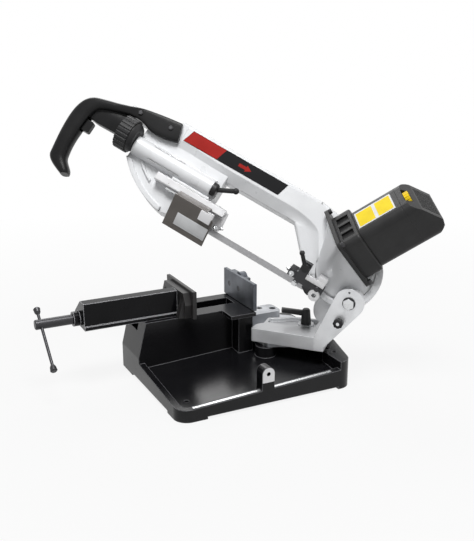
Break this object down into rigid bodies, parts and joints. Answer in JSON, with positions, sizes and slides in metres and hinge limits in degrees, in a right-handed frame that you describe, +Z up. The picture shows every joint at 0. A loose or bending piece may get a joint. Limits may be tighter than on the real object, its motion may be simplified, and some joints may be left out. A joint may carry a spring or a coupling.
{
  "type": "metal cutting band saw",
  "caption": "Bench band saw for metal: pivoting bow with a toothed band on two wheels, motor and grip handle, on a mitre swivel over a cast tray with a screw vise.",
  "frame": {"origin": "centre of the bench bolt pattern, on the plane the feet stand on", "axes": "+Z up, +X from the vise screw towards the motor side, -Y towards the user"},
  "size_m": [0.7472, 0.5717, 0.5552],
  "materials": {
    "base_paint": "black gloss",
    "vise_paint": "black gloss",
    "jaw_steel": "dark",
    "steel": "satin",
    "blade_steel": "ground",
    "dark_steel": "blackened",
    "bare_casting": "as cast",
    "bow_paint": "silver white",
    "black_plastic": "fine grain",
    "strip": "red and black",
    "guard": "dark",
    "yellow_plastic": "ribbed",
    "bronze": "machined",
    "copper_core": "laminated",
    "ruler": "bare"
  },
  "bodies": {
    "base": {"base_casting": "base_paint", "ruler_strip": "ruler", "fixed_jaw": "jaw_steel", "fixed_jaw_plate": "jaw_steel", "fixed_jaw_screws": "dark_steel", "vise_nut": "steel", "angle_sector": "bare_casting", "sector_screws": "dark_steel", "pivot_pin": "steel"},
    "vise": {"vise_slide": "vise_paint", "moving_jaw": "jaw_steel", "moving_jaw_plate": "jaw_steel", "moving_jaw_screws": "dark_steel", "slide_key": "vise_paint"},
    "vise_screw": {"vise_screw": "dark_steel"},
    "tommy_bar": {"tommy_bar": "dark_steel", "tommy_caps": "dark_steel"},
    "swivel": {"swivel_arm": "bare_casting", "hinge_bolts": "steel", "mitre_nut": "dark_steel"},
    "stop_knob": {"stop_knob": "black_plastic"},
    "mitre_clamp": {"mitre_lever": "black_plastic"},
    "bow": {"bow_frame": "bow_paint", "drive_cover": "bow_paint", "rear_cover": "bow_paint", "beam_strip": "strip", "blade": "blade_steel", "gearbox_housing": "bare_casting", "motor_flange": "black_plastic", "motor_housing": "black_plastic", "motor_end_cap": "black_plastic", "handle_front": "black_plastic", "handle_back": "black_plastic", "right_guide_block": "steel", "right_roller_pins": "steel", "bow_screws": "dark_steel", "bow_bolts": "dark_steel"},
    "drive": {"drive_wheel": "bare_casting", "drive_shaft": "steel", "worm_gear": "bronze"},
    "rotor": {"motor_rotor": "copper_core"},
    "tension_slide": {"tension_slide": "steel", "idler_axle": "steel"},
    "idler": {"idler_wheel": "bare_casting"},
    "tension_knob": {"tension_knob": "black_plastic", "tension_screw": "steel"},
    "guide": {"guide_bar": "steel", "blade_guard": "guard", "left_roller_pins": "steel"},
    "guide_lever": {"guide_lever": "black_plastic"},
    "right_guide_lever": {"right_guide_lever": "black_plastic"},
    "trigger": {"trigger": "black_plastic"},
    "speed_dial": {"speed_dial": "yellow_plastic"},
    "left_near_roller": {"left_near_roller": "steel"},
    "left_far_roller": {"left_far_roller": "steel"},
    "left_back_roller": {"left_back_roller": "steel"},
    "right_near_roller": {"right_near_roller": "steel"},
    "right_far_roller": {"right_far_roller": "steel"},
    "right_back_roller": {"right_back_roller": "steel"}
  },
  "joints": [
    {"name": "vise_travel", "type": "slide", "parent": "base", "child": "vise", "axis": [1, 0, 0], "range_m": [0, 0.12]},
    {"name": "vise_screw_turn", "type": "hinge", "parent": "vise", "child": "vise_screw", "pos_m": [-0.35, 0.0925, 0.141], "axis": [1, 0, 0], "range_deg": [0, 4320]},
    {"name": "tommy_bar_slide", "type": "slide", "parent": "vise_screw", "child": "tommy_bar", "axis": [0, 0.7837, 0.6211], "range_m": [-0.012, 0.08]},
    {"name": "mitre_swing", "type": "hinge", "parent": "base", "child": "swivel", "pos_m": [0.0595, -0.0155, 0.066], "axis": [0, 0, 1], "range_deg": [-15, 45]},
    {"name": "mitre_clamp_turn", "type": "hinge", "parent": "swivel", "child": "mitre_clamp", "pos_m": [0.14746, -0.03148, 0.095], "axis": [0, 0, 1], "range_deg": [-40, 40]},
    {"name": "stop_knob_turn", "type": "hinge", "parent": "swivel", "child": "stop_knob", "pos_m": [0.15043, -0.14886, 0.135], "axis": [0.7071, 0.7071, 0], "range_deg": [-180, 180]},
    {"name": "bow_swing", "type": "hinge", "parent": "swivel", "child": "bow", "pos_m": [0.18438, -0.14037, 0.1751], "axis": [-0.7071, -0.7071, 0], "range_deg": [-20, 16]},
    {"name": "rotor_spin", "type": "hinge", "parent": "bow", "child": "rotor", "pos_m": [0.1724, -0.1024, 0.26308], "axis": [0.6945, -0.4683, 0.5462], "continuous": true},
    {"name": "drive_spin", "type": "hinge", "parent": "bow", "child": "drive", "pos_m": [0.19441, -0.1021, 0.22029], "axis": [-0.4549, -0.7698, 0.4477], "continuous": true},
    {"name": "tension_travel", "type": "slide", "parent": "bow", "child": "tension_slide", "axis": [0.6331, -0.6331, -0.4453], "range_m": [0, 0.006]},
    {"name": "tension_knob_turn", "type": "hinge", "parent": "bow", "child": "tension_knob", "pos_m": [-0.14802, 0.2109, 0.4831], "axis": [0.6331, -0.6331, -0.4453], "range_deg": [0, 1440]},
    {"name": "idler_spin", "type": "hinge", "parent": "tension_slide", "child": "idler", "pos_m": [-0.07467, 0.16699, 0.40952], "axis": [-0.4549, -0.7698, 0.4477], "continuous": true},
    {"name": "guide_travel", "type": "slide", "parent": "bow", "child": "guide", "axis": [0.6331, -0.6331, -0.4453], "range_m": [-0.005, 0.09]},
    {"name": "guide_lever_turn", "type": "hinge", "parent": "bow", "child": "guide_lever", "pos_m": [-0.01413, 0.07127, 0.37794], "axis": [0.6331, -0.6331, -0.4453], "range_deg": [-30, 30]},
    {"name": "right_guide_lever_turn", "type": "hinge", "parent": "bow", "child": "right_guide_lever", "pos_m": [0.10532, -0.09526, 0.2411], "axis": [-0.7071, -0.7071, 0], "range_deg": [-20, 40]},
    {"name": "trigger_pull", "type": "slide", "parent": "bow", "child": "trigger", "axis": [-0.6331, 0.6331, 0.4453], "range_m": [0, 0.005], "stiffness_N_per_m": 600, "springref_m": -0.003},
    {"name": "speed_dial_turn", "type": "hinge", "parent": "bow", "child": "speed_dial", "pos_m": [0.27483, -0.18927, 0.37875], "axis": [0.6945, -0.4683, 0.5462], "range_deg": [-120, 120]},
    {"name": "left_near_roller_spin", "type": "hinge", "parent": "guide", "child": "left_near_roller", "pos_m": [-0.03513, 0.06905, 0.2951], "axis": [0.3148, -0.3148, 0.8954], "continuous": true},
    {"name": "left_far_roller_spin", "type": "hinge", "parent": "guide", "child": "left_far_roller", "pos_m": [-0.02505, 0.07913, 0.2951], "axis": [0.3148, -0.3148, 0.8954], "continuous": true},
    {"name": "left_back_roller_spin", "type": "hinge", "parent": "guide", "child": "left_back_roller", "pos_m": [-0.01704, 0.06103, 0.30077], "axis": [-0.7071, -0.7071, 0], "continuous": true},
    {"name": "right_near_roller_spin", "type": "hinge", "parent": "bow", "child": "right_near_roller", "pos_m": [0.09784, -0.06391, 0.20159], "axis": [0.3148, -0.3148, 0.8954], "continuous": true},
    {"name": "right_far_roller_spin", "type": "hinge", "parent": "bow", "child": "right_far_roller", "pos_m": [0.10791, -0.05384, 0.20159], "axis": [0.3148, -0.3148, 0.8954], "continuous": true},
    {"name": "right_back_roller_spin", "type": "hinge", "parent": "bow", "child": "right_back_roller", "pos_m": [0.0982, -0.0542, 0.21973], "axis": [-0.7071, -0.7071, 0], "continuous": true}
  ],
  "couplings": [
    {"joint": "vise_screw_turn", "follows": "vise_travel", "rad_per_m": 628.32},
    {"joint": "tension_knob_turn", "follows": "tension_travel", "rad_per_m": 4188.8},
    {"joint": "drive_spin", "follows": "rotor_spin", "ratio": 0.033333},
    {"joint": "idler_spin", "follows": "rotor_spin", "ratio": 0.033333},
    {"joint": "left_near_roller_spin", "follows": "rotor_spin", "ratio": -0.35038},
    {"joint": "left_far_roller_spin", "follows": "rotor_spin", "ratio": 0.35038},
    {"joint": "left_back_roller_spin", "follows": "rotor_spin", "ratio": 0.35038},
    {"joint": "right_near_roller_spin", "follows": "rotor_spin", "ratio": -0.35038},
    {"joint": "right_far_roller_spin", "follows": "rotor_spin", "ratio": 0.35038},
    {"joint": "right_back_roller_spin", "follows": "rotor_spin", "ratio": 0.35038}
  ]
}
